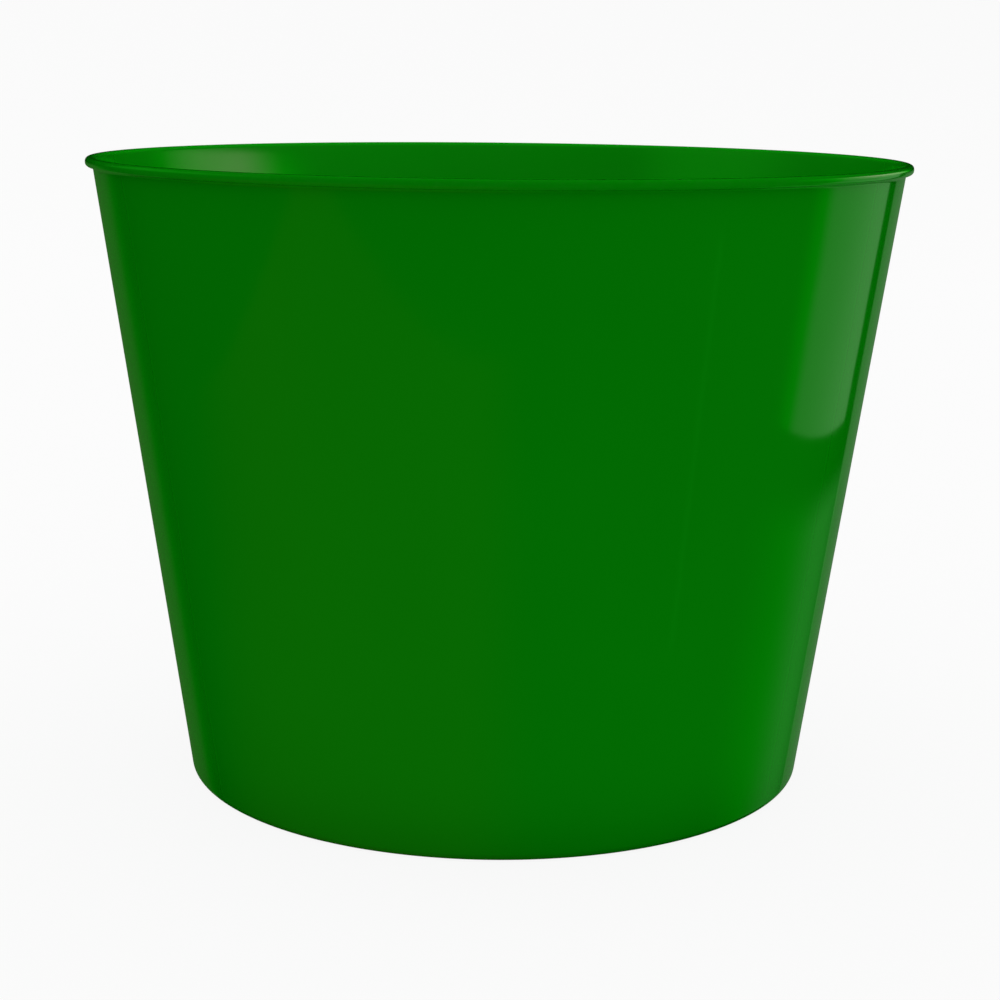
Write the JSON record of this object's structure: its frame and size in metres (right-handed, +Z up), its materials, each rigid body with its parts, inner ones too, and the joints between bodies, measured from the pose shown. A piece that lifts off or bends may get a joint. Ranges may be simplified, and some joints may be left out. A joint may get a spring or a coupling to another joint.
{
  "type": "florist bucket",
  "caption": "Round tapered florist bucket with an open mouth, a small rounded lip, a thin smooth wall and a flat foot ring under a raised floor.",
  "frame": {"origin": "centre of the foot ring, on the surface that the bucket stands on", "axes": "+Z up along the bucket's axis, out of the mouth; +X to the viewer's right and +Y away from the viewer"},
  "size_m": [0.25, 0.25, 0.1915],
  "materials": {
    "green_plastic": "gloss"
  },
  "bodies": {
    "root": {"rim": "green_plastic", "wall": "green_plastic", "base": "green_plastic"}
  },
  "joints": []
}
